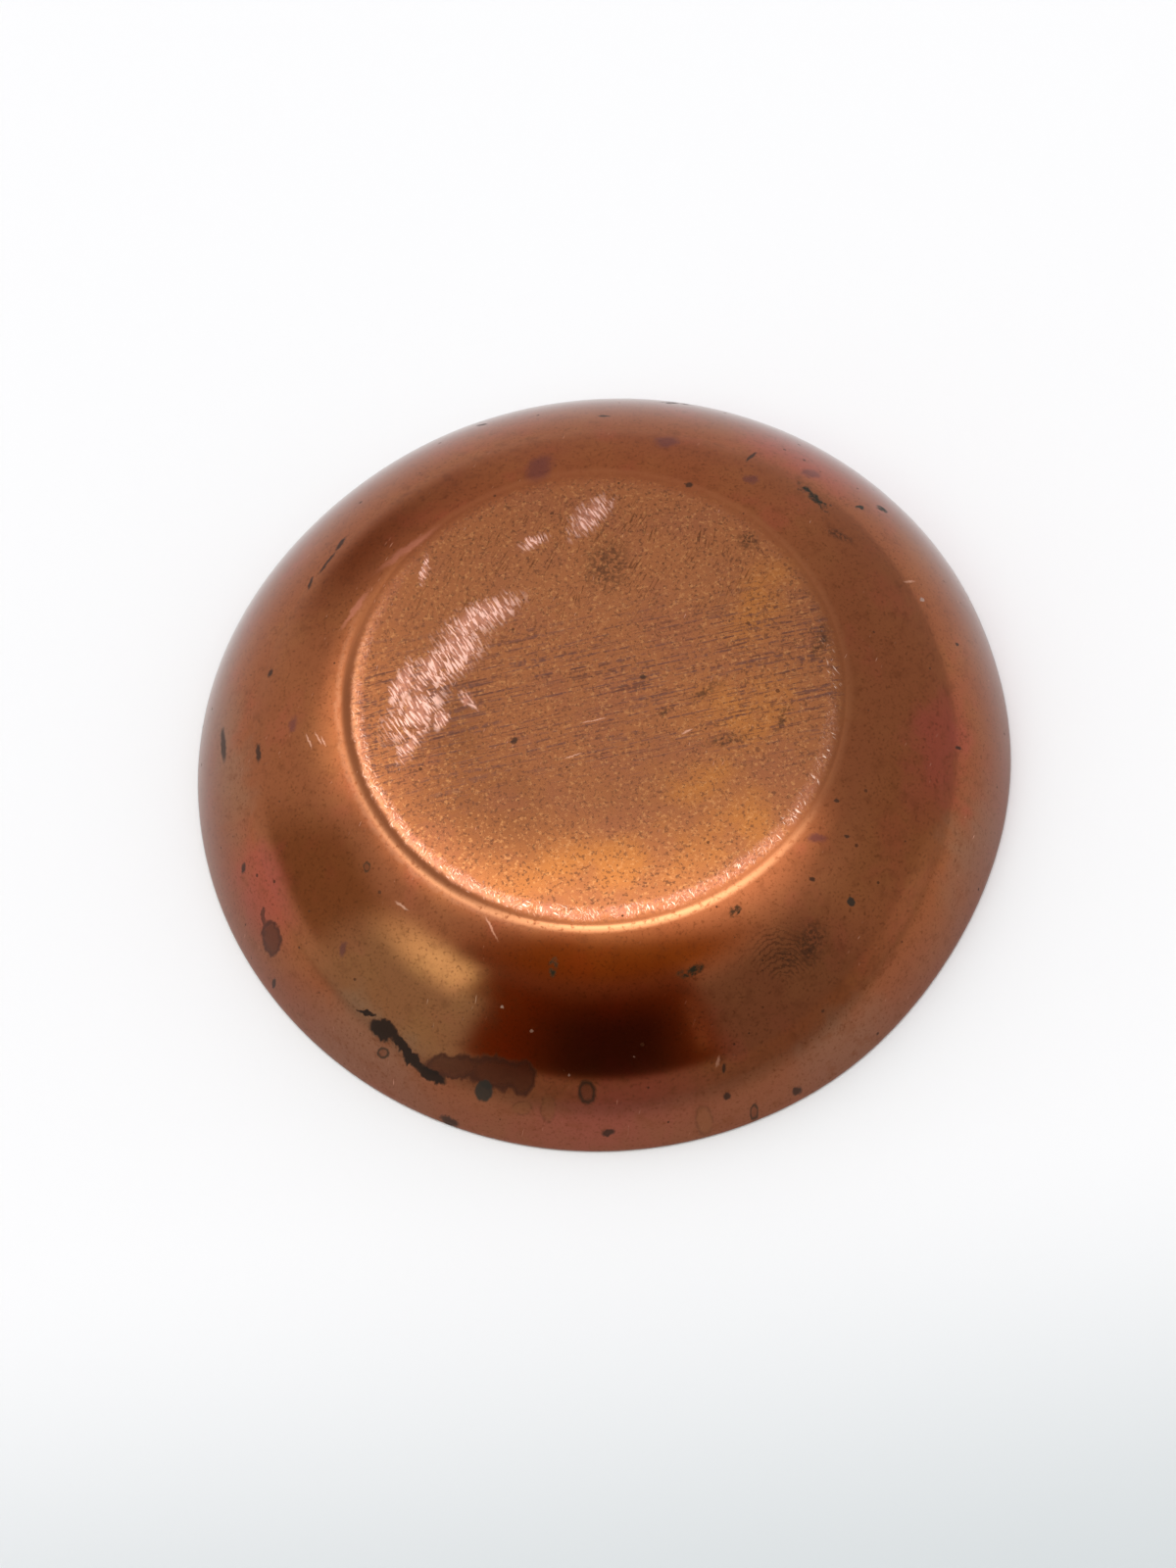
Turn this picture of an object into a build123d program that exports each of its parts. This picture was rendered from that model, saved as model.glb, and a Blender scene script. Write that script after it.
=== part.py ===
from build123d import *
from math import atan2, cos, degrees, hypot, radians, sin, sqrt
from typing import NamedTuple
import os

# A small copper offering bowl, spun from one round of sheet and lying mouth down.
# Millimetres and degrees. The lip rests on the plane z = 0 round the origin, and the foot faces +Z.

# Driving sizes
rim_diameter = 85.0      # over the widest part of the lip
height = 16.5            # from the lip to the foot
sheet = 0.9              # thickness of the copper, the same all over
foot_diameter = 46.4     # the flat disc that the bowl stands on in use
foot_edge_bend = 4.7     # outside radius of the worn edge round the disc
foot_edge_lean = 25.0    # steepest slope of that edge
crease_bend = 0.6        # outside radius of the hollow line round the foot
crease_lean = 6.0        # slope where the hollow line ends
shoulder_bend = 3.0      # outside radius of the small roll between the crease and the wall
shoulder_lean = 14.0     # slope where that roll runs into the wall
lip_round = 0.25         # rounding of both edges of the cut lip

FLAT_LEAN = 0.0          # a level face that looks up
DOWN_LEAN = 180.0        # a level face that looks down


class Station(NamedTuple):
    """A place on the profile: its radius, its height, and the lean of its face away from straight up."""
    radius: float
    height: float
    lean: float


def bent(start, bend_radius, lean):
    """The station reached from start along an arc that ends at lean; a hollow has a negative radius."""
    return Station(
        start.radius + bend_radius * (sin(radians(lean)) - sin(radians(start.lean))),
        start.height + bend_radius * (cos(radians(lean)) - cos(radians(start.lean))),
        lean,
    )


def under(station, depth):
    """The point at this depth below the station's face."""
    return (
        station.radius - depth * sin(radians(station.lean)),
        station.height - depth * cos(radians(station.lean)),
    )


def wall_bend(start):
    """The wall's bend radius and its last lean, for an arc from start that runs smoothly into the lip."""
    start_radius, start_height = under(start, lip_round)
    run = rim_diameter / 2 - lip_round - start_radius
    drop = start_height - lip_round
    end_lean = 2 * degrees(atan2(drop, run)) - start.lean
    chord = hypot(run, drop)
    return lip_round + chord / (2 * sin(radians(end_lean - start.lean) / 2)), end_lean


def outside_bends():
    """The arcs of the outside face from the foot to the lip, each as its start, bend radius and end."""
    start = Station(foot_diameter / 2, height, FLAT_LEAN)
    foot_edge = bent(start, foot_edge_bend, foot_edge_lean)
    crease = bent(foot_edge, -crease_bend, crease_lean)
    shoulder = bent(crease, shoulder_bend, shoulder_lean)
    wall_radius, wall_lean = wall_bend(shoulder)
    wall = bent(shoulder, wall_radius, wall_lean)
    return [
        (start, foot_edge_bend, foot_edge),
        (foot_edge, -crease_bend, crease),
        (crease, shoulder_bend, shoulder),
        (shoulder, wall_radius, wall),
    ]


def inner_lip(wall_start, wall_radius):
    """The rounded inner edge of the lip, from the level land up to where the inside of the wall begins."""
    centre_radius, centre_height = under(wall_start, wall_radius)
    reach = wall_radius - sheet + lip_round
    rise = lip_round - centre_height
    run = sqrt(reach**2 - rise**2)
    land_end = Station(centre_radius + run, 0, DOWN_LEAN)
    return land_end, bent(land_end, lip_round, DOWN_LEAN + degrees(atan2(run, rise)))


def arc(start, bend_radius, end, depth=0):
    """The arc between two stations, drawn at this depth below the face."""
    middle = bent(start, bend_radius, (start.lean + end.lean) / 2)
    return ThreePointArc(under(start, depth), under(middle, depth), under(end, depth))


def profile():
    """The closed half section of the sheet, with the bowl's axis at radius 0."""
    bends = outside_bends()
    foot_start = bends[0][0]
    wall_start, wall_radius, wall_end = bends[-1]
    lip_bottom = bent(wall_end, lip_round, DOWN_LEAN)
    land_end, inside_start = inner_lip(wall_start, wall_radius)
    inside_wall_end = Station(*under(inside_start, sheet), inside_start.lean - DOWN_LEAN)

    outside = [arc(*bend) for bend in bends]
    lip = [
        arc(wall_end, lip_round, lip_bottom),
        Line(under(lip_bottom, 0), under(land_end, 0)),
        arc(land_end, lip_round, inside_start),
    ]
    inside = [arc(*bend, depth=sheet) for bend in bends[:-1]]
    inside.append(arc(wall_start, wall_radius, inside_wall_end, depth=sheet))
    axis_top = (0, height)
    axis_bottom = (0, height - sheet)
    closing = [
        Line(axis_top, under(foot_start, 0)),
        Line(under(foot_start, sheet), axis_bottom),
        Line(axis_bottom, axis_top),
    ]
    return make_face(outside + lip + inside + closing)


def bowl():
    """The vessel: one sheet of even thickness, turned about the bowl's axis."""
    return revolve(Plane.XZ * profile(), Axis.Z)


os.makedirs("parts", exist_ok=True)
export_step(bowl(), "parts/bowl.step")
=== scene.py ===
from functools import partial
from math import atan2, cos, degrees, hypot, pi, radians, sin, sqrt

import bpy
from mathutils import Matrix, Vector, noise


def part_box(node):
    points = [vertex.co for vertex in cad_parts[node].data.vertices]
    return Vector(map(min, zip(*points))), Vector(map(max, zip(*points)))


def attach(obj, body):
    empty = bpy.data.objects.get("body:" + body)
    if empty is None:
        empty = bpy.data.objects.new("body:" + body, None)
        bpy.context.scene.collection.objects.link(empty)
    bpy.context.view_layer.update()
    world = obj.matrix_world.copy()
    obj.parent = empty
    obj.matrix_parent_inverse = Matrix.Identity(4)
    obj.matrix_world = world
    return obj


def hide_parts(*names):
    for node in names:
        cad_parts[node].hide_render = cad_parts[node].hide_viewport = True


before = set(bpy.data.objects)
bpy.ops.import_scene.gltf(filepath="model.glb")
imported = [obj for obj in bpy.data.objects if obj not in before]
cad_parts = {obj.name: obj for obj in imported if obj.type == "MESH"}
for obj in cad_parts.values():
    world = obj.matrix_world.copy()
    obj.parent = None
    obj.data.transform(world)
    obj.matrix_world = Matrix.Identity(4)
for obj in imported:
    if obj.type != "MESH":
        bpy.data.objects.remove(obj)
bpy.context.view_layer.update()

# A small copper offering bowl, spun from one round of sheet, lying mouth down on a pale floor.
# Sizes are in millimetres, angles in degrees. Angles round the axis start at +X and go anticlockwise
# as seen from the foot, so the viewer's side is at -90.

MM = 0.001
bowl_low, bowl_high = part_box("bowl")

# Sizes of the bowl, as in the solid, but with the foot's edge worn to a softer roll
RIM_RADIUS = (bowl_high.x - bowl_low.x) / 2 / MM
HEIGHT = (bowl_high.z - bowl_low.z) / MM
SHEET = 0.9
FLAT_RADIUS = 12.0
FOOT_RADIUS = 23.2
WORN_LEAN = 5.3
FOOT_EDGE_BEND = 10.0
FOOT_EDGE_LEAN = 15.5
CREASE_BEND = 1.0
CREASE_LEAN = 9.0
SHOULDER_BEND = 3.0
SHOULDER_LEAN = 14.0
LIP_ROUND = 0.25
DOWN_LEAN = 180.0

# How far the real sheet is from a true turning: the lip is a little oval, three-cornered and knocked
OVAL_SHARE, OVAL_TURN = 0.0074, 60.0
THREE_CORNER_SHARE, THREE_CORNER_TURN = 0.005, 41.5
LIP_KNOCKS = [(-43.0, -0.28, 26.0), (-8.0, 0.20, 20.0), (128.0, -0.15, 26.0)]  # angle, depth out, half width
LIP_SHIFT_POWER = 1.3    # how fast those faults die out from the lip down to the foot
WALL_WAVE, WALL_WAVE_LENGTH = 0.030, 16.0
WALL_WAVE_ONSET = 1 / 3  # share of the wall's width over which its waves set in
DISC_WAVE, DISC_WAVE_LENGTH = 0.018, 9.0
DISC_WAVE_POWER = 4      # how fast the disc's waves die out below the foot

# How finely the sheet is drawn
TURN_STEPS = 400
ARC_STEP = 0.45
FINE_ARC_STEP = 0.12
DISC_STEP = 0.9

# The view: where the camera looks on the floor, how far off it stands, and its slant
AIM_X, AIM_Y = -1.89, -2.83
VIEW_DISTANCE = 325.9
VIEW_ELEVATION = 65.83
VIEW_ROLL = -7.7
LENS = 72.0
SENSOR_LONG_SIDE = 36.0


# Shape of the sheet

def bent(start, bend, lean):
    """The place reached along an arc of this bend that ends at lean; a hollow has a negative bend."""
    radius, height, start_lean = start
    return (
        radius + bend * (sin(radians(lean)) - sin(radians(start_lean))),
        height + bend * (cos(radians(lean)) - cos(radians(start_lean))),
        lean,
    )


def under(place, depth):
    """The point this deep below the face at a place of the profile."""
    radius, height, lean = place
    return radius - depth * sin(radians(lean)), height - depth * cos(radians(lean))


def wall_arc(start):
    """The wall's bend and last lean, for one arc from the shoulder that runs smoothly into the lip."""
    start_radius, start_height = under(start, LIP_ROUND)
    run = RIM_RADIUS - LIP_ROUND - start_radius
    drop = start_height - LIP_ROUND
    lean = 2 * degrees(atan2(drop, run)) - start[2]
    return LIP_ROUND + hypot(run, drop) / (2 * sin(radians(lean - start[2]) / 2)), lean


def along(start, bend, lean, depth, step):
    """Points along one arc at this depth below the face, without the first."""
    length = abs(bend) * radians(abs(lean - start[2]))
    count = max(2, round(length / step))
    leans = [start[2] + (lean - start[2]) * i / count for i in range(1, count + 1)]
    return [under(bent(start, bend, x), depth) for x in leans]


def profile():
    """The sheet's section as (radius, height) points, from the foot's centre to the lip and back inside."""
    flat_edge = (FLAT_RADIUS, HEIGHT, 0.0)
    worn_bend = (FOOT_RADIUS - FLAT_RADIUS) / sin(radians(WORN_LEAN))
    foot_edge = bent(flat_edge, worn_bend, WORN_LEAN)
    crease = bent(foot_edge, FOOT_EDGE_BEND, FOOT_EDGE_LEAN)
    roll = bent(crease, -CREASE_BEND, CREASE_LEAN)
    shoulder = bent(roll, SHOULDER_BEND, SHOULDER_LEAN)
    wall_bend, wall_lean = wall_arc(shoulder)
    wall_end = bent(shoulder, wall_bend, wall_lean)

    centre_radius, centre_height = under(shoulder, wall_bend)
    rise = LIP_ROUND - centre_height
    run = sqrt((wall_bend - SHEET + LIP_ROUND) ** 2 - rise**2)
    land_end = (centre_radius + run, 0.0, DOWN_LEAN)
    inner_lean = degrees(atan2(run, rise))
    inner_end = bent(shoulder, wall_bend, inner_lean)

    flat_count = round(FLAT_RADIUS / DISC_STEP)
    flat = [FLAT_RADIUS * i / flat_count for i in range(1, flat_count + 1)]
    outside = [(radius, HEIGHT) for radius in flat]
    outside += along(flat_edge, worn_bend, WORN_LEAN, 0, ARC_STEP)
    outside += along(foot_edge, FOOT_EDGE_BEND, FOOT_EDGE_LEAN, 0, FINE_ARC_STEP)
    outside += along(crease, -CREASE_BEND, CREASE_LEAN, 0, FINE_ARC_STEP)
    outside += along(roll, SHOULDER_BEND, SHOULDER_LEAN, 0, FINE_ARC_STEP)
    outside += along(shoulder, wall_bend, wall_lean, 0, ARC_STEP)
    outside += along(wall_end, LIP_ROUND, DOWN_LEAN, 0, FINE_ARC_STEP)
    inside = [under(land_end, 0)]
    inside += along(land_end, LIP_ROUND, DOWN_LEAN + inner_lean, 0, FINE_ARC_STEP)
    inside += along(inner_end, wall_bend, SHOULDER_LEAN, SHEET, ARC_STEP)
    inside += along(shoulder, SHOULDER_BEND, CREASE_LEAN, SHEET, ARC_STEP)
    inside += along(roll, -CREASE_BEND, FOOT_EDGE_LEAN, SHEET, ARC_STEP)
    inside += along(crease, FOOT_EDGE_BEND, WORN_LEAN, SHEET, ARC_STEP)
    inside += along(foot_edge, worn_bend, 0.0, SHEET, ARC_STEP)
    inside += [(radius, HEIGHT - SHEET) for radius in reversed(flat[:-1])]
    return outside, inside


def lip_shift(angle):
    """How far the lip stands out from a true circle at this angle, in millimetres."""
    shift = RIM_RADIUS * OVAL_SHARE * cos(radians(2 * (angle - OVAL_TURN)))
    shift += RIM_RADIUS * THREE_CORNER_SHARE * cos(radians(3 * (angle - THREE_CORNER_TURN)))
    for knock_angle, depth, half_width in LIP_KNOCKS:
        away = (angle - knock_angle + 180) % 360 - 180
        shift += depth * max(0.0, cos(radians(90 * min(1.0, abs(away) / half_width)))) ** 2
    return shift


def sheet_point(radius, height, angle):
    """A point of the sheet in metres, moved as the real one is from a true turning."""
    up_wall = max(0.0, (radius - FOOT_RADIUS) / (RIM_RADIUS - FOOT_RADIUS))
    outward = Vector((cos(radians(angle)), sin(radians(angle)), 0))
    place = outward * radius + Vector((0, 0, height))
    wall_wave = noise.noise(place / WALL_WAVE_LENGTH) * WALL_WAVE * min(1.0, up_wall / WALL_WAVE_ONSET)
    disc_wave = noise.noise(place / DISC_WAVE_LENGTH) * DISC_WAVE * (height / HEIGHT) ** DISC_WAVE_POWER
    place += outward * (lip_shift(angle) * up_wall**LIP_SHIFT_POWER + wall_wave)
    place.z += disc_wave
    return place * MM


def bowl_mesh():
    """The whole sheet as one closed skin: outside faces take the first material, inside faces the second."""
    outside, inside = profile()
    rings = outside + inside
    points = [Vector((0, 0, HEIGHT * MM))]
    for radius, height in rings:
        points += [sheet_point(radius, height, 360 * i / TURN_STEPS) for i in range(TURN_STEPS)]
    points.append(Vector((0, 0, (HEIGHT - SHEET) * MM)))

    faces = [(0, 1 + i, 1 + (i + 1) % TURN_STEPS) for i in range(TURN_STEPS)]
    for ring in range(len(rings) - 1):
        first = 1 + ring * TURN_STEPS
        for i in range(TURN_STEPS):
            j = (i + 1) % TURN_STEPS
            faces.append((first + i, first + TURN_STEPS + i, first + TURN_STEPS + j, first + j))
    last = 1 + (len(rings) - 1) * TURN_STEPS
    faces += [(last + i, len(points) - 1, last + (i + 1) % TURN_STEPS) for i in range(TURN_STEPS)]

    mesh = bpy.data.meshes.new("copper_bowl")
    mesh.from_pydata(points, [], faces)
    outside_faces = TURN_STEPS * len(outside)
    for number, face in enumerate(mesh.polygons):
        face.use_smooth = True
        face.material_index = 0 if number < outside_faces else 1
    return mesh


# Finishes

def linear(hex_colour, level=1.0):
    """A linear colour with alpha from an sRGB hex value, at this level of brightness."""
    parts = [int(hex_colour[i:i + 2], 16) / 255 for i in (1, 3, 5)]
    return [level * (c / 12.92 if c <= 0.04045 else ((c + 0.055) / 1.055) ** 2.4) for c in parts] + [1.0]


def add(tree, kind, inputs=None, **settings):
    """Adds a node, makes its settings, and fills or links its inputs; a node stands for its first output."""
    made = tree.nodes.new("ShaderNode" + kind)
    for name, value in settings.items():
        setattr(made, name, value)
    for name, value in (inputs or {}).items():
        if isinstance(value, bpy.types.Node):
            value = next(output for output in value.outputs if not output.is_unavailable)
        if isinstance(value, bpy.types.NodeSocket):
            tree.links.new(value, made.inputs[name])
        else:
            made.inputs[name].default_value = value
    return made


def new_material(name):
    """An empty material, and its node tree."""
    material = bpy.data.materials.new(name)
    material.use_nodes = True
    material.node_tree.nodes.clear()
    return material, material.node_tree


def bowl_places(tree):
    """Places on the bowl in millimetres: in the round, flattened onto the plan, and as plan radius."""
    place = add(tree, "Mapping", {
        "Vector": add(tree, "TexCoord").outputs["Object"], "Scale": (1 / MM, 1 / MM, 1 / MM),
    })
    plan = add(tree, "Mapping", {"Vector": place, "Scale": (1, 1, 0)})
    radius = add(tree, "VectorMath", {0: plan}, operation="LENGTH")
    return place, plan, radius


def band(tree, distance, inner, outer, soft):
    """Cover of the ring or strip between two distances, with soft edges."""
    past_inner = add(tree, "MapRange", {
        "Value": distance, "From Min": inner - soft, "From Max": inner + soft,
    }, interpolation_type="SMOOTHSTEP")
    before_outer = add(tree, "MapRange", {
        "Value": distance, "From Min": outer + soft, "From Max": outer - soft,
    }, interpolation_type="SMOOTHSTEP")
    return add(tree, "Math", {0: past_inner, 1: before_outer}, operation="MULTIPLY")


def mottle(tree, place, size, low, high, detail=3.0, turn=0.0):
    """Soft patches about this size across: cover grows as the cloud rises from low to high."""
    cloud = add(tree, "TexNoise", {
        "Vector": place, "W": turn, "Scale": 1 / size, "Detail": detail, "Roughness": 0.6,
    }, noise_dimensions="4D")
    return add(tree, "MapRange", {
        "Value": cloud, "From Min": low, "From Max": high,
    }, interpolation_type="SMOOTHSTEP")


def strokes(tree, place, direction, length, width, low, high):
    """Fine strokes of this length and width that run in one direction across the plan."""
    drawn = add(tree, "Mapping", {
        "Vector": place, "Rotation": (0, 0, radians(direction)), "Scale": (length, width, width),
    }, vector_type="TEXTURE")
    grain = add(tree, "TexNoise", {"Vector": drawn, "Scale": 1.0, "Detail": 1.5})
    return add(tree, "MapRange", {"Value": grain, "From Min": low, "From Max": high})


def scratches(tree, plan, direction, wander, length, width, low, high):
    """Short scratches whose direction wanders from one small area to the next."""
    area_size = 1.5 * length
    areas = add(tree, "TexVoronoi", {"Vector": plan, "Scale": 1 / area_size})
    turn = add(tree, "MapRange", {
        "Value": add(tree, "SeparateColor", {0: areas.outputs["Color"]}),
        "To Min": radians(direction - wander), "To Max": radians(direction + wander),
    })
    turned = add(tree, "VectorRotate", {
        "Vector": plan, "Center": areas.outputs["Position"], "Angle": turn,
    }, rotation_type="Z_AXIS", invert=True)
    return strokes(tree, turned, 0.0, length, width, low, high)


def torn(tree, plan, size, reach):
    """The plan pulled about, so that marks drawn on it get ragged edges."""
    pull = add(tree, "TexNoise", {"Vector": plan, "Scale": 1 / size, "Detail": 3.0, "Roughness": 0.65})
    shrink = 1 / (2 * reach)
    pulled = add(tree, "Mapping", {
        "Vector": plan, "Scale": (shrink, shrink, 0), "Location": pull.outputs["Color"],
    })
    return add(tree, "Mapping", {
        "Vector": pulled, "Scale": (2 * reach, 2 * reach, 0), "Location": (-reach, -reach, 0),
    })


def towards(tree, plan, side, start, end, least=0.0):
    """Cover that grows towards one side, from its least at start to full at end, both in millimetres."""
    reach = add(tree, "VectorMath", {0: plan, 1: side}, operation="DOT_PRODUCT")
    return add(tree, "MapRange", {"Value": reach, "From Min": start, "From Max": end, "To Min": least})


def nearest_mark(tree, plan, marks):
    """How close a place is to the nearest of these ovals: 1 in its middle, a half on its edge, and 0 from
    twice as far out."""
    closest = None
    for x, y, turn, half_length, half_width in marks:
        local = add(tree, "Mapping", {
            "Vector": plan, "Location": (x, y, 0), "Rotation": (0, 0, radians(turn)),
            "Scale": (2 * half_length, 2 * half_width, 1),
        }, vector_type="TEXTURE")
        close = add(tree, "TexGradient", {"Vector": local}, gradient_type="SPHERICAL").outputs["Fac"]
        if closest is None:
            closest = close
        else:
            closest = add(tree, "Math", {0: closest, 1: close}, operation="MAXIMUM")
    return closest


def within(tree, closest, edge, soft):
    """Cover inside the nearest mark; its edge and the softness there are shares of the mark's size."""
    return add(tree, "MapRange", {
        "Value": closest, "From Min": 1 - (edge + soft) / 2, "From Max": 1 - (edge - soft) / 2,
    }, interpolation_type="SMOOTHSTEP")


def marked(tree, plan, marks, edge, soft):
    """Cover inside any of these marks."""
    return within(tree, nearest_mark(tree, plan, marks), edge, soft)


def edge_line(tree, closest, soft):
    """A line just inside the edge of the nearest mark."""
    off_edge = add(tree, "Math", {0: closest, 1: EDGE_LINE_CLOSENESS}, operation="SUBTRACT")
    off_edge = add(tree, "Math", {0: off_edge}, operation="ABSOLUTE")
    return add(tree, "MapRange", {
        "Value": off_edge, "From Min": soft, "From Max": 0.0,
    }, interpolation_type="SMOOTHSTEP")


# Rings that the finishes follow: inner and outer plan radius, and the softness of both edges
MIDDLE, PAST_RIM = -9.0, 60.0  # so far off that no edge shows there
DISC = (MIDDLE, FOOT_RADIUS + 1.2, 1.0)
INNER_DISC = (MIDDLE, FOOT_RADIUS - 1.7, 2.5)
WORN_EDGE = (FOOT_RADIUS + 0.1, FOOT_RADIUS + 1.1, 0.4)
# at the foot's edge: painted highlight lines and roll, and painted shade in the groove
PAINTED_INNER_HIGHLIGHT = (FOOT_RADIUS + 0.7, FOOT_RADIUS + 1.1, 0.3)
PAINTED_GROOVE_SHADE = (FOOT_RADIUS + 1.1, FOOT_RADIUS + 2.2, 0.35)
ROLL = (FOOT_RADIUS + 1.8, FOOT_RADIUS + 2.4, 0.3)
PAINTED_OUTER_HIGHLIGHT = (FOOT_RADIUS + 2.4, FOOT_RADIUS + 2.9, 0.3)
WALL = (FOOT_RADIUS + 2.4, PAST_RIM, 0.4)
# painted shade round the rim: all round, and over a wider band on the far side
PAINTED_RIM_SHADE = (RIM_RADIUS - 3.0, PAST_RIM, 2.5)
PAINTED_FAR_RIM_SHADE = (RIM_RADIUS - 5.5, PAST_RIM, 3.5)

# Sides of the bowl where wear, stains, painted highlights and painted shade gather, as directions on the plan
FAR_SIDE = (0, 1, 0)
NEAR_SIDE = (0, -1, 0)
WEAR_AND_HIGHLIGHT_SIDE = (-0.40, -0.92, 0)
PAINTED_HIGHLIGHT_SIDE = (-0.30, -0.95, 0)
LEFT_SIDE = (-0.94, -0.34, 0)

# The band across the disc that holds the sanding lines: y of its near and far edge, and their softness
SANDED = (-9.0, 8.0, 5.0)

EDGE_LINE_CLOSENESS = 0.55  # how close to a mark its rim line lies, where a half is its edge
PIT_SPACING = 1.8
LARGEST_PIT = 0.12          # radius, as a share of the spacing
PIT_SPREAD = 2.5            # power that leaves most pits small
FINGERPRINT_X, FINGERPRINT_Y = 14.5, -29.0
FINGERPRINT_HALF_LENGTH, FINGERPRINT_HALF_WIDTH = 3.6, 2.6
RIDGE_SPACING = 0.46
RIDGE_MIDDLE_DROP = 3.0     # how much nearer the viewer the ridges' middle lies than the print's

# Marks on the outside, picked on the photograph and placed to the nearest half millimetre.
# Each is an oval: plan x and y of its middle, turn of its long side, half length and half width
BLACK_TARNISH = [
    (-25.0, -29.5, -35, 1.6, 0.75), (-23.5, -31.0, -50, 1.5, 0.45), (-22.5, -32.5, -45, 1.3, 0.5),
    (-21.0, -34.0, -35, 1.5, 0.4), (-26.5, -27.5, -40, 1.0, 0.2),
]
RED_BLOTS = [
    (-18.5, -34.0, -15, 3.2, 0.9), (-14.5, -35.5, -15, 2.9, 1.2), (-12.0, -36.5, 0, 1.3, 1.3),
    (-35.5, -17.5, 110, 1.5, 1.0), (-36.0, -15.5, 80, 1.0, 0.25),
]
DARK_SPOTS = [(-16.0, -36.5, 0, 0.95, 0.8), (22.0, -24.5, 0, 0.4, 0.4)]
RINGED_SPOTS = [
    (-6.0, -38.5, 0, 0.8, 0.8), (-25.5, -31.0, -25, 0.6, 0.4),
    (10.0, -41.0, 60, 0.5, 0.35), (-24.5, -15.0, 75, 0.5, 0.3),
]
PALE_PATCHES = [(5.0, -41.5, 80, 1.0, 0.9), (-12.5, -38.5, -10, 1.1, 0.5), (-10.0, -39.0, 70, 1.0, 0.8)]
SPECKS = [
    (-4.5, -41.5, 0, 0.7, 0.25), (7.5, -40.0, 10, 0.4, 0.25), (7.5, -38.0, 80, 0.4, 0.2),
    (14.5, -39.5, 20, 0.6, 0.25), (-20.0, -37.5, -30, 1.1, 0.3), (-37.5, -10.0, 75, 0.5, 0.3),
    (-36.0, -21.0, 60, 0.4, 0.25), (-38.5, 4.0, 90, 2.2, 0.35), (-34.5, 0.5, 90, 1.1, 0.3),
    (-32.5, 9.0, 60, 0.5, 0.3), (-24.0, 22.5, 55, 1.0, 0.3), (-25.5, 20.5, 50, 1.6, 0.2),
    (-27.5, 18.5, 70, 0.9, 0.2), (35.5, -8.5, 15, 0.35, 0.2), (22.5, -18.5, 0, 0.3, 0.2),
    (22.0, -15.0, 0, 0.3, 0.2), (18.5, -22.5, 0, 0.3, 0.2), (37.5, 3.5, 45, 0.3, 0.2),
    (12.5, 38.0, -15, 0.6, 0.15), (5.0, 34.0, -10, 0.7, 0.2), (-8.0, 37.0, -20, 0.7, 0.25),
    (12.5, 22.0, 0, 0.4, 0.35), (19.5, 26.0, 50, 1.1, 0.2), (-8.5, -4.5, 45, 0.5, 0.35),
    (5.0, 0.5, 20, 0.4, 0.3),
]
GREEN_MARKS = [
    (25.0, 20.5, -60, 2.0, 0.6), (24.5, 21.5, 0, 0.6, 0.7), (26.0, 19.0, -75, 0.9, 0.35),
    (30.0, 19.5, 20, 0.5, 0.4), (32.5, 20.5, -45, 0.6, 0.5), (5.5, -30.0, 10, 1.4, 0.45),
    (10.5, -25.0, 30, 0.7, 0.45), (-7.5, -28.0, 60, 0.8, 0.4), (13.0, 37.5, 0, 1.4, 0.4),
]
PURPLE_MARKS = [
    (11.0, 28.5, 0, 1.4, 1.1), (-2.5, 26.5, 60, 2.2, 1.5), (19.0, 22.5, 0, 0.9, 0.8),
    (19.5, -18.5, 0, 1.0, 0.6), (25.5, 24.0, 0, 1.2, 0.8), (-30.5, 2.0, 75, 0.8, 0.55),
    (-28.0, -21.5, 60, 0.7, 0.4),
]
SMUDGES = [
    (17.5, -28.0, 60, 2.0, 1.3), (15.0, -29.5, 0, 1.1, 0.7), (3.0, 13.5, 75, 3.0, 2.2),
    (17.5, 14.5, 0, 1.2, 0.9), (23.0, 2.0, 65, 2.0, 0.8), (12.5, -7.5, 5, 2.0, 0.5),
    (18.0, -6.0, 65, 1.5, 0.5), (11.0, -2.0, 25, 2.0, 0.7), (6.5, -3.5, 20, 0.9, 0.4),
    (27.0, 15.0, -35, 1.5, 0.7),
]
DUST = [
    (34.5, 8.0, 40, 0.35, 0.2), (-10.5, -33.0, 0, 0.2, 0.15), (-1.0, -36.5, 0, 0.12, 0.1),
    (-7.5, -37.0, 0, 0.12, 0.1), (-13.0, -30.5, 0, 0.15, 0.12),
]
ROSE_TINTS = [
    (33.5, -9.0, 70, 8.0, 3.0), (-36.0, -12.0, 110, 7.0, 3.0), (-4.0, -40.0, 0, 9.0, 2.5),
    (26.0, 27.0, -45, 9.0, 4.0),
]
OLIVE_TINTS = [
    (-38.0, 2.0, 90, 9.0, 2.5), (36.0, -17.0, 65, 7.0, 2.5), (-27.5, -30.5, -47, 9.0, 3.5),
    (20.0, -36.0, 30, 7.0, 2.5),
]
SCRATCHED_PATCHES = [
    (-14.5, 5.0, 35, 4.6, 1.8), (-10.5, 9.5, 20, 4.0, 1.4), (-13.0, 7.0, 60, 2.4, 1.4),
    (-19.0, 3.5, 65, 2.4, 0.8), (-18.0, 0.0, 40, 3.2, 2.0), (-12.5, 0.5, -55, 1.0, 0.5),
    (-15.5, -1.0, 60, 1.1, 0.7), (-19.0, -3.5, 55, 1.6, 0.8), (2.0, 19.5, 40, 2.6, 1.2),
    (-4.0, 17.5, 25, 1.4, 0.6), (-15.5, 16.0, 75, 1.6, 0.35),
]
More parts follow.
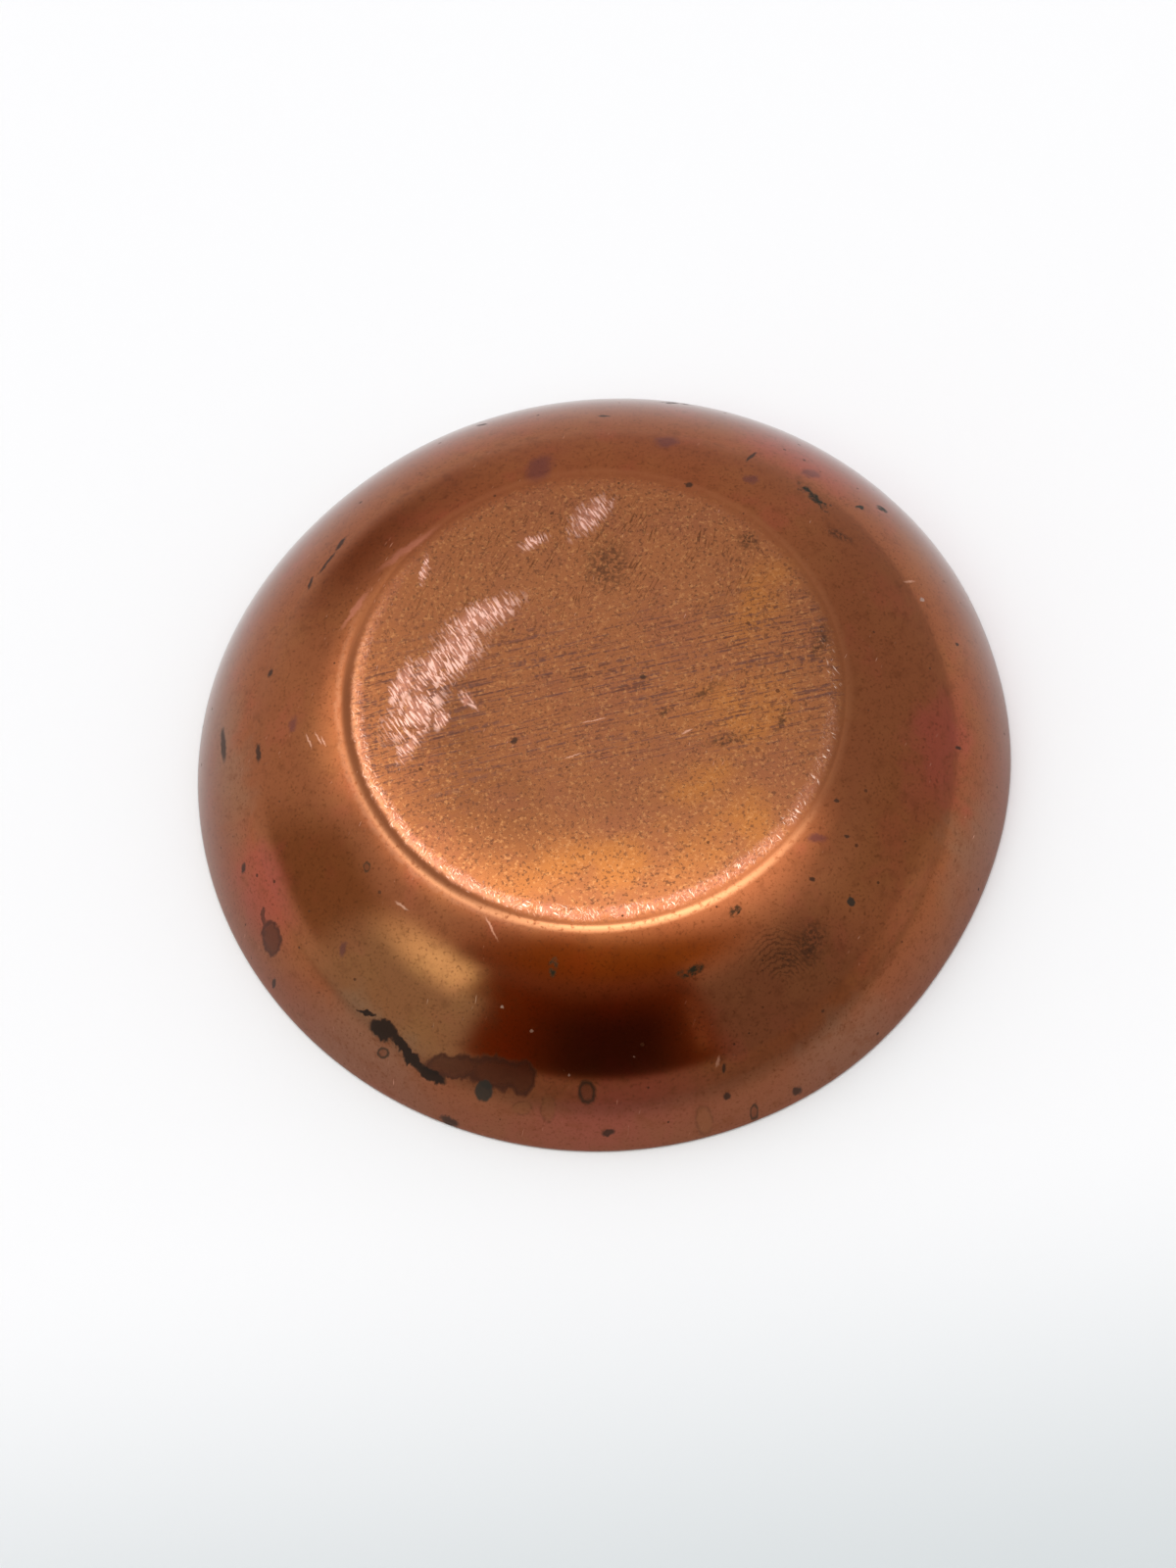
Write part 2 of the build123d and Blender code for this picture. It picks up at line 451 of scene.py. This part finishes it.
PALE_SCRATCHES = [
    (-29.0, -0.5, -75, 0.9, 0.1), (-28.0, -0.5, -70, 0.8, 0.1), (-27.5, -1.0, -75, 0.6, 0.1),
    (-21.5, -19.5, -45, 0.8, 0.14), (-13.0, -23.5, -70, 1.3, 0.12), (7.0, -37.5, 60, 0.5, 0.14),
    (33.5, 10.0, 20, 0.7, 0.14), (-0.5, -3.5, 5, 1.3, 0.07), (-3.0, -7.0, 10, 0.9, 0.07),
    (8.5, -6.0, 20, 0.6, 0.12),
]
WORN_LINES = [(-17.0, 19.0, 30, 4.5, 0.6), (-23.0, 13.0, 50, 3.0, 0.4)]
GOLDEN_PATCHES = [
    (14.5, -4.0, 15, 6.0, 4.5), (9.5, -11.0, 15, 4.0, 3.0), (-1.0, -19.0, 0, 11.5, 3.5),
    (18.0, 7.5, 55, 6.5, 2.5), (12.0, -17.0, 35, 6.0, 3.0),
]
BROWN_PATCHES = [(-12.5, -12.5, -45, 10.0, 5.5), (-15.0, -2.0, 80, 6.0, 4.0)]


class Coats:
    """A metal finish built up in coats, each laid over the last one where its cover is full."""

    def __init__(self, tree, colour, roughness):
        self.tree = tree
        self.colour = linear(colour)
        self.roughness = roughness
        self.height = 0.0

    def lay(self, strength, covers, colour, roughness, height=0.0):
        """Lays one coat where all its covers meet; height is how far it stands up, in millimetres."""
        tree = self.tree
        cover = strength
        for part in covers:
            cover = add(tree, "Math", {0: cover, 1: part}, operation="MULTIPLY")
        self.colour = add(tree, "Mix", {
            "Factor": cover, "A": self.colour, "B": linear(colour),
        }, data_type="RGBA")
        self.roughness = add(tree, "Mix", {"Factor": cover, "A": self.roughness, "B": roughness})
        if height:
            self.height = add(tree, "Math", {0: cover, 1: height, 2: self.height}, operation="MULTIPLY_ADD")

    def finish(self):
        """Joins the coats in a metal shader."""
        relief = add(self.tree, "Bump", {"Height": self.height, "Distance": MM, "Strength": 1.0})
        shader = add(self.tree, "BsdfPrincipled", {
            "Base Color": self.colour, "Metallic": 1.0, "Roughness": self.roughness, "Normal": relief,
        })
        add(self.tree, "OutputMaterial", {"Surface": shader})


def brown_ground(coats, place, plan, radius):
    """The even brown of handled copper, clouded with olive and rose where the film is thinner or thicker."""
    tree = coats.tree
    wall = band(tree, radius, *WALL)
    clouded = torn(tree, plan, 6.0, 4.0)
    coats.lay(0.8, [mottle(tree, place, 8.0, 0.42, 0.66)], "#975a35", 0.14)
    coats.lay(0.6, [mottle(tree, place, 6.0, 0.50, 0.70, turn=2.0), wall], "#9d5237", 0.12)
    coats.lay(0.65, [marked(tree, clouded, ROSE_TINTS, 0.8, 0.6), wall], "#a54d40", 0.14)
    coats.lay(0.8, [marked(tree, clouded, OLIVE_TINTS, 0.8, 0.6), wall], "#8f6348", 0.17)
    # Painted shade: the rim is drawn darker all round, and over a wider band on the far side, for the shaded
    # floor it mirrors next to the bowl.
    coats.lay(0.5, [band(tree, radius, *PAINTED_RIM_SHADE)], "#70463a", 0.16)
    far_side = towards(tree, plan, FAR_SIDE, 12.0, 34.0)
    coats.lay(0.5, [band(tree, radius, *PAINTED_FAR_RIM_SHADE), far_side], "#6f3e30", 0.16)
    coats.lay(0.55, [mottle(tree, place, 1.2, 0.48, 0.75, 5.0, turn=4.0), wall], "#743f24", 0.20)
    coats.lay(0.5, [mottle(tree, place, 0.30, 0.53, 0.66, 4.0, turn=9.0), wall], "#5c2f17", 0.20)


def rubbed_disc(coats, place, plan, radius):
    """The foot's disc, rubbed dull with grit: brown with a fine grain, and long sanding lines across it.
    The real lines are finer than a picture shows, so they are drawn 0.2 to 0.3 mm wide."""
    tree = coats.tree
    disc = band(tree, radius, *DISC)
    clouded = torn(tree, plan, 5.0, 3.0)
    coats.lay(1.0, [disc], "#9d5f3a", 0.21)
    coats.lay(0.6, [marked(tree, clouded, BROWN_PATCHES, 0.8, 0.6), disc], "#7c4a2b", 0.24)
    coats.lay(0.5, [marked(tree, clouded, GOLDEN_PATCHES, 0.8, 0.6), disc], "#bc7434", 0.22)
    coats.lay(0.5, [mottle(tree, place, 5.0, 0.45, 0.65, turn=6.0), disc], "#8f553a", 0.26)
    coats.lay(0.5, [mottle(tree, place, 0.34, 0.52, 0.66, 4.0, turn=7.0), disc], "#c98a55", 0.24)
    coats.lay(0.7, [mottle(tree, place, 0.30, 0.52, 0.63, 5.0, turn=11.0), disc], "#5c3a29", 0.34, -0.002)

    far_half = towards(tree, clouded, FAR_SIDE, 0.0, 12.0)
    gathered = mottle(tree, place, 3.0, 0.42, 0.58, turn=13.0)
    fine = scratches(tree, plan, 62, 14, 2.4, 0.20, 0.56, 0.66)
    coats.lay(0.7, [fine, far_half, gathered, band(tree, radius, *INNER_DISC)], "#4e2d1b", 0.36, -0.003)

    across = add(tree, "SeparateXYZ", {0: clouded}).outputs["Y"]
    sanded = band(tree, across, *SANDED)
    broken = mottle(tree, place, 0.6, 0.38, 0.56, turn=3.0)
    long_lines = strokes(tree, place, 5, 9.0, 0.30, 0.52, 0.63)
    coats.lay(0.8, [long_lines, broken, sanded, disc], "#5f3f37", 0.38, -0.003)
    short_lines = strokes(tree, place, 6, 5.0, 0.20, 0.55, 0.65)
    coats.lay(0.75, [short_lines, broken, sanded, disc], "#5a382c", 0.40, -0.003)


def worn_foot_edge(coats, place, plan, radius):
    """Bare copper round the foot: painted highlights on roll and lines, painted shade in the left groove, a
    scratched edge.
    """
    tree = coats.tree
    ragged = torn(tree, plan, 1.2, 0.5)
    ragged_radius = add(tree, "VectorMath", {0: ragged}, operation="LENGTH")
    rubbed = mottle(tree, place, 0.5, 0.30, 0.50, turn=12.0)
    # The roll is bare copper with a painted highlight: its pale coat is drawn only towards the near left,
    # where the lamp shines on it.
    painted_highlight_side = towards(tree, plan, PAINTED_HIGHLIGHT_SIDE, 8.0, 22.0, least=0.08)
    coats.lay(0.9, [band(tree, radius, *ROLL), painted_highlight_side, rubbed], "#dc986a", 0.18)
    coats.lay(0.6, [marked(tree, ragged, WORN_LINES, 0.7, 0.4)], "#b9745a", 0.24)

    # Painted light at the left: shade painted into the groove, and highlights painted on the lines either
    # side of it.
    left_side = towards(tree, plan, LEFT_SIDE, 13.0, 22.0)
    coats.lay(0.85, [band(tree, radius, *PAINTED_GROOVE_SHADE), left_side], "#633822", 0.40)
    coats.lay(0.45, [band(tree, ragged_radius, *PAINTED_INNER_HIGHLIGHT), left_side, rubbed], "#d69668", 0.24)
    coats.lay(0.25, [band(tree, ragged_radius, *PAINTED_OUTER_HIGHLIGHT), left_side, rubbed], "#c48a66", 0.22)

    # Scratched bare copper at the foot's edge: real wear, drawn paler towards the near left and the near side
    # as painted highlight, where the lamp shines.
    edge = band(tree, ragged_radius, *WORN_EDGE)
    wear_and_highlight_side = towards(tree, plan, WEAR_AND_HIGHLIGHT_SIDE, -10.0, 23.0, least=0.05)
    coats.lay(0.4, [edge, wear_and_highlight_side, mottle(tree, place, 1.5, 0.30, 0.60, turn=1.0)], "#bd7763", 0.26)
    patchy = mottle(tree, place, 1.6, 0.34, 0.56, turn=15.0)
    hairlines = scratches(tree, plan, 70, 60, 0.5, 0.15, 0.52, 0.64)
    coats.lay(0.8, [hairlines, edge, wear_and_highlight_side, patchy], "#e6ad90", 0.22, -0.006)
    near_half = towards(tree, plan, NEAR_SIDE, -5.0, 3.0)
    nicks = scratches(tree, plan, 120, 25, 1.1, 0.20, 0.64, 0.69)
    coats.lay(0.9, [nicks, edge, near_half], "#f6cfb6", 0.24)


def scratched_patches(coats, place, plan):
    """Patches on the disc that something hard scratched down to pink copper, and a few stray hairlines."""
    tree = coats.tree
    scratched = marked(tree, torn(tree, plan, 1.6, 1.0), SCRATCHED_PATCHES, 1.0, 0.6)
    # The patch counts twice, so that its tint gathers in the middle
    coats.lay(0.5, [scratched, scratched, mottle(tree, place, 2.0, 0.30, 0.55, turn=5.0)], "#cc8c76", 0.34)
    hatch = scratches(tree, plan, 115, 8, 1.6, 0.24, 0.50, 0.58)
    coats.lay(0.9, [hatch, scratched], "#f0bda8", 0.32, -0.006)
    gaps = scratches(tree, plan, 117, 8, 1.2, 0.22, 0.54, 0.62)
    coats.lay(0.55, [gaps, scratched], "#7d4d3b", 0.36)
    stray = scratches(tree, plan, 62, 12, 1.5, 0.10, 0.73, 0.78)
    coats.lay(0.9, [stray, mottle(tree, place, 6.0, 0.50, 0.58, turn=5.0)], "#e2a88e", 0.25)


def pits(coats, place):
    """Small dark pits of different sizes, scattered all over."""
    tree = coats.tree
    cells = add(tree, "TexVoronoi", {"Vector": place, "Scale": 1 / PIT_SPACING})
    size = add(tree, "SeparateColor", {0: cells.outputs["Color"]})
    size = add(tree, "Math", {0: size, 1: PIT_SPREAD}, operation="POWER")
    size = add(tree, "Math", {0: size, 1: LARGEST_PIT}, operation="MULTIPLY")
    pit = add(tree, "Math", {0: cells.outputs["Distance"], 1: size}, operation="LESS_THAN")
    coats.lay(0.75, [pit], "#472c20", 0.50)


def fingerprint(coats, ragged):
    """A faint print of ridges, left by a thumb on the lower right of the wall."""
    tree = coats.tree
    ridge_middle = (FINGERPRINT_X, FINGERPRINT_Y - RIDGE_MIDDLE_DROP, 0)
    away = add(tree, "VectorMath", {0: ragged, 1: ridge_middle}, operation="DISTANCE")
    ridge = add(tree, "Math", {0: away, 1: 2 * pi / RIDGE_SPACING}, operation="MULTIPLY")
    ridge = add(tree, "Math", {0: ridge}, operation="SINE")
    ridge = add(tree, "MapRange", {"Value": ridge, "From Min": 0.2, "From Max": 0.8})
    print_oval = (FINGERPRINT_X, FINGERPRINT_Y, 0, FINGERPRINT_HALF_LENGTH, FINGERPRINT_HALF_WIDTH)
    coats.lay(0.6, [marked(tree, ragged, [print_oval], 0.8, 0.4), ridge], "#4a2c1e", 0.40)


def tarnish_marks(coats, place, plan):
    """Dark marks left by damp and fingers: smudges, purple and green spots, red blots and black streaks."""
    tree = coats.tree
    ragged = torn(tree, torn(tree, plan, 2.0, 0.6), 0.6, 0.35)
    grain = mottle(tree, place, 0.6, 0.35, 0.60, turn=8.0)
    fingerprint(coats, ragged)
    smudge = marked(tree, ragged, SMUDGES, 0.9, 0.6)
    coats.lay(0.75, [smudge, mottle(tree, place, 0.4, 0.38, 0.58)], "#402c20", 0.45)
    coats.lay(0.6, [marked(tree, ragged, PURPLE_MARKS, 0.8, 0.4)], "#643838", 0.35)
    coats.lay(0.95, [marked(tree, ragged, GREEN_MARKS, 1.0, 0.3), grain], "#252a20", 0.50)
    blot = nearest_mark(tree, ragged, RED_BLOTS)
    coats.lay(0.8, [within(tree, blot, 1.0, 0.15)], "#532d20", 0.28)
    coats.lay(0.4, [edge_line(tree, blot, 0.15)], "#39241f", 0.40)
    coats.lay(0.95, [marked(tree, ragged, BLACK_TARNISH, 1.0, 0.2)], "#2e231d", 0.55)


def small_marks(coats, place, plan):
    """Small marks with frayed edges: pale patches, dark spots, rings, specks, single scratches and dust."""
    tree = coats.tree
    frayed = torn(tree, plan, 0.5, 0.22)
    grain = mottle(tree, place, 0.6, 0.35, 0.60, turn=8.0)
    patch = nearest_mark(tree, frayed, PALE_PATCHES)
    coats.lay(0.4, [within(tree, patch, 0.9, 0.15)], "#815132", 0.30)
    coats.lay(0.35, [edge_line(tree, patch, 0.12), grain], "#4b2d20", 0.40)
    coats.lay(0.9, [marked(tree, frayed, DARK_SPOTS, 0.95, 0.15)], "#39362f", 0.45)
    ringed = nearest_mark(tree, frayed, RINGED_SPOTS)
    coats.lay(0.5, [within(tree, ringed, 0.9, 0.15)], "#663927", 0.35)
    coats.lay(0.8, [edge_line(tree, ringed, 0.2)], "#392d22", 0.45)
    coats.lay(0.85, [marked(tree, frayed, SPECKS, 0.9, 0.3)], "#3c2c24", 0.50)
    coats.lay(0.6, [marked(tree, frayed, PALE_SCRATCHES, 0.9, 0.4)], "#d9a185", 0.30)
    coats.lay(0.4, [marked(tree, frayed, DUST, 0.9, 0.3)], "#d8c4b8", 0.70)


def aged_copper_outside():
    """Spun copper browned by age and handling: a glossy brown wall that mirrors the room, a duller disc that
    was rubbed with grit, bare pink copper where the foot's edge wears, painted highlights and shade round the
    foot, painted shade at the rim, and dark tarnish marks."""
    material, tree = new_material("aged_spun_copper_outside")
    place, plan, radius = bowl_places(tree)
    coats = Coats(tree, "#925332", 0.12)
    brown_ground(coats, place, plan, radius)
    rubbed_disc(coats, place, plan, radius)
    worn_foot_edge(coats, place, plan, radius)
    scratched_patches(coats, place, plan)
    pits(coats, place)
    tarnish_marks(coats, place, plan)
    small_marks(coats, place, plan)
    coats.finish()
    return material


def aged_copper_inside():
    """The inside of the same sheet, handled less: an even brown with the fine rings that spinning leaves."""
    material, tree = new_material("aged_spun_copper_inside")
    place, _, radius = bowl_places(tree)
    rings = mottle(tree, add(tree, "CombineXYZ", {"X": radius}), 0.5, 0.45, 0.65)
    coats = Coats(tree, "#935935", 0.20)
    coats.lay(1.0, [mottle(tree, place, 12.0, 0.42, 0.66)], "#874e36", 0.24)
    coats.lay(1.0, [mottle(tree, place, 2.0, 0.55, 0.75)], "#76442d", 0.30)
    coats.lay(1.0, [rings], "#9e6443", 0.26, 0.004)
    coats.finish()
    return material


# Floor, lamps and room

FLOOR_SIDE = 6.0  # metres
# Painted shade on the floor: the paper is drawn greyer towards the viewer, where it lies in shade.
NEAR_PAPER_SHADE = "#c0c5c7"
PAINTED_PAPER_SHADES = [(-0.18, -0.09, "#d6dcdd"), (-0.10, -0.045, "#ffffff")]  # y from and to, in metres, and colour


def white_floor():
    """Plain matt white paper, with painted shade that makes it a little darker towards the viewer."""
    material, tree = new_material("white_paper")
    place = add(tree, "SeparateXYZ", {0: add(tree, "TexCoord").outputs["Object"]})
    paper = linear(NEAR_PAPER_SHADE)
    for start, end, colour in PAINTED_PAPER_SHADES:
        shade = add(tree, "MapRange", {
            "Value": place.outputs["Y"], "From Min": start, "From Max": end,
        }, interpolation_type="SMOOTHSTEP")
        paper = add(tree, "Mix", {"Factor": shade, "A": paper, "B": linear(colour)}, data_type="RGBA")
    shader = add(tree, "BsdfPrincipled", {"Base Color": paper, "Roughness": 0.9})
    add(tree, "OutputMaterial", {"Surface": shader})
    return material


def floor():
    """The sheet of paper that the bowl lies on."""
    half = FLOOR_SIDE / 2
    corners = [(-half, -half, 0), (half, -half, 0), (half, half, 0), (-half, half, 0)]
    mesh = bpy.data.meshes.new("floor")
    mesh.from_pydata(corners, [], [(0, 1, 2, 3)])
    mesh.materials.append(white_floor())
    made = bpy.data.objects.new("floor", mesh)
    bpy.context.collection.objects.link(made)


# What stands round the bowl. Compass angles start at the viewer's side and grow to the right; bottom and top
# are angles above the floor. Each edge has its own softness, and later panels cover earlier ones.
ROOM = [
    # left, soft, right, soft, bottom, soft, top, soft, colour, level
    (150, 20, 215, 10, 4, 5, 50, 10, "#fff7fd", 0.83),      # back wall, its right half
    (-215, 10, -150, 20, 4, 5, 50, 10, "#fff7fd", 0.83),    # back wall, its left half
    (75, 15, 150, 20, -30, 5, 62, 10, "#f4f6ff", 0.70),     # right wall
    (-165, 14, -142, 10, 6, 6, 28, 12, "#ffe2d2", 0.45),    # dim corner at the back left
    (-152, 12, -118, 14, 41, 10, 67, 8, "#ffffff", 2.60),   # second lamp, high at the back left
    (-50, 14, 62, 15, -30, 5, 14, 2, "#fff7ee", 0.52),      # low part of the room in front
    (18, 2, 62, 12, 10, 2, 53, 9, "#f6f6ff", 0.48),         # grey wall at the front right
    (62, 12, 100, 15, 10, 2, 42, 8, "#ffffff", 0.60),       # paler wall beside it
    (-60, 20, 45, 20, 56, 8, 84, 8, "#ffc86c", 0.63),       # warm ceiling in front
    (-60, 6, 19, 3, 13, 1.5, 63, 16, "#ae6626", 0.68),      # dark panel in front
    (-26, 12, 11, 10, 14, 2, 50, 14, "#5a3a30", 0.70),      # the panel's darkest part
    (-104, 7, -76, 5, 9, 3, 48, 8, "#fff8e0", 0.54),        # wall beside the window
    (-76, 6, -41, 2.5, -20, 5, 41, 5, "#d9f6ff", 1.10),     # window, lower part
    (-71, 12, -48, 3, 38, 7, 52, 5, "#d8fffa", 3.30),       # window, bright upper part
    (13.8, 0.8, 16.0, 0.8, 20, 4, 46, 6, "#f3d2b0", 0.62),  # narrow gap in the dark panel
]
ROOM_COLOUR, ROOM_LEVEL = "#eff5ff", 1.13

# The long lamp overhead: where it hangs, its turn and its edges, in shares of its height above the bowl
LAMP_MIDDLE = (0.0, 0.11, 0.0)
LAMP_TURN = -20.0
LAMP_EDGES = {"X": (-0.54, 0.20, 0.44, 0.42), "Y": (-0.22, 0.18, 0.14, 0.09)}
LAMP_LIGHT = 3.3
LAMP_LOW, LAMP_FULL = 20.0, 30.0  # angles above the floor between which the lamp fades in


def room():
    """Light from all round: pale walls, a window at the left, a dark panel in front and a lamp overhead."""
    world = bpy.data.worlds.new("room")
    world.use_nodes = True
    tree = world.node_tree
    tree.nodes.clear()
    bpy.context.scene.world = world
    node = partial(add, tree)
    direction = node("TexCoord").outputs["Generated"]
    parts = node("SeparateXYZ", {0: direction})
    ahead = node("Math", {0: parts.outputs["Y"], 1: -1.0}, operation="MULTIPLY")
    compass = node("Math", {0: parts.outputs["X"], 1: ahead}, operation="ARCTAN2")
    compass = node("Math", {0: compass}, operation="DEGREES")
    above = node("Math", {0: parts.outputs["Z"]}, operation="ARCSINE")
    above = node("Math", {0: above}, operation="DEGREES")
    light = linear(ROOM_COLOUR, ROOM_LEVEL)
    for left, left_soft, right, right_soft, bottom, bottom_soft, top, top_soft, colour, level in ROOM:
        cover = 1.0
        edges = [
            (compass, left, left_soft), (compass, right, -right_soft),
            (above, bottom, bottom_soft), (above, top, -top_soft),
        ]
        for angle, edge, soft in edges:
            inside = node("MapRange", {
                "Value": angle, "From Min": edge - soft, "From Max": edge + soft,
            }, interpolation_type="SMOOTHSTEP")
            cover = node("Math", {0: cover, 1: inside}, operation="MULTIPLY")
        light = node("Mix", {"Factor": cover, "A": light, "B": linear(colour, level)}, data_type="RGBA")

    reach = node("Math", {0: 1.0, 1: parts.outputs["Z"]}, operation="DIVIDE")
    overhead = node("VectorMath", {0: direction, "Scale": reach}, operation="SCALE")
    overhead = node("Mapping", {
        "Vector": overhead, "Location": LAMP_MIDDLE, "Rotation": (0, 0, radians(LAMP_TURN)),
    }, vector_type="TEXTURE")
    overhead = node("SeparateXYZ", {0: overhead})
    lit = node("MapRange", {"Value": above, "From Min": LAMP_LOW, "From Max": LAMP_FULL})
    for side, (start, start_soft, end, end_soft) in LAMP_EDGES.items():
        for edge, soft in ((start, start_soft), (end, -end_soft)):
            inside = node("MapRange", {
                "Value": overhead.outputs[side], "From Min": edge - soft, "From Max": edge + soft,
            }, interpolation_type="SMOOTHSTEP")
            lit = node("Math", {0: lit, 1: inside}, operation="MULTIPLY")
    light = node("Mix", {"Factor": lit, "A": light, "B": linear("#ffffff", LAMP_LIGHT)}, data_type="RGBA")
    camera_ray = node("LightPath").outputs["Is Camera Ray"]
    seen = node("Mix", {"Factor": camera_ray, "A": light, "B": linear("#ffffff")}, data_type="RGBA")
    node("OutputWorld", {"Surface": node("Background", {"Color": seen, "Strength": 1.0})})


def camera():
    """The camera, set by where it looks, how far off it stands, and its slant and roll."""
    slant, roll = radians(VIEW_ELEVATION), radians(VIEW_ROLL)
    back = Vector((0, -cos(slant), sin(slant)))
    level_right = Vector((1, 0, 0))
    level_up = back.cross(level_right)
    right = cos(roll) * level_right + sin(roll) * level_up
    up = cos(roll) * level_up - sin(roll) * level_right
    data = bpy.data.cameras.new("camera")
    data.lens = LENS
    data.sensor_width = SENSOR_LONG_SIDE
    data.clip_start = MM
    made = bpy.data.objects.new("camera", data)
    made.matrix_world = Matrix((right, up, back)).transposed().to_4x4()
    made.location = (Vector((AIM_X, AIM_Y, 0)) + back * VIEW_DISTANCE) * MM
    bpy.context.collection.objects.link(made)
    bpy.context.scene.camera = made


bowl = bpy.data.objects.new("copper_bowl", bowl_mesh())
bpy.context.collection.objects.link(bowl)
bowl.data.materials.append(aged_copper_outside())
bowl.data.materials.append(aged_copper_inside())
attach(bowl, "root")
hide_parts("bowl")

floor()
room()
camera()
bpy.context.scene.view_settings.view_transform = "Standard"
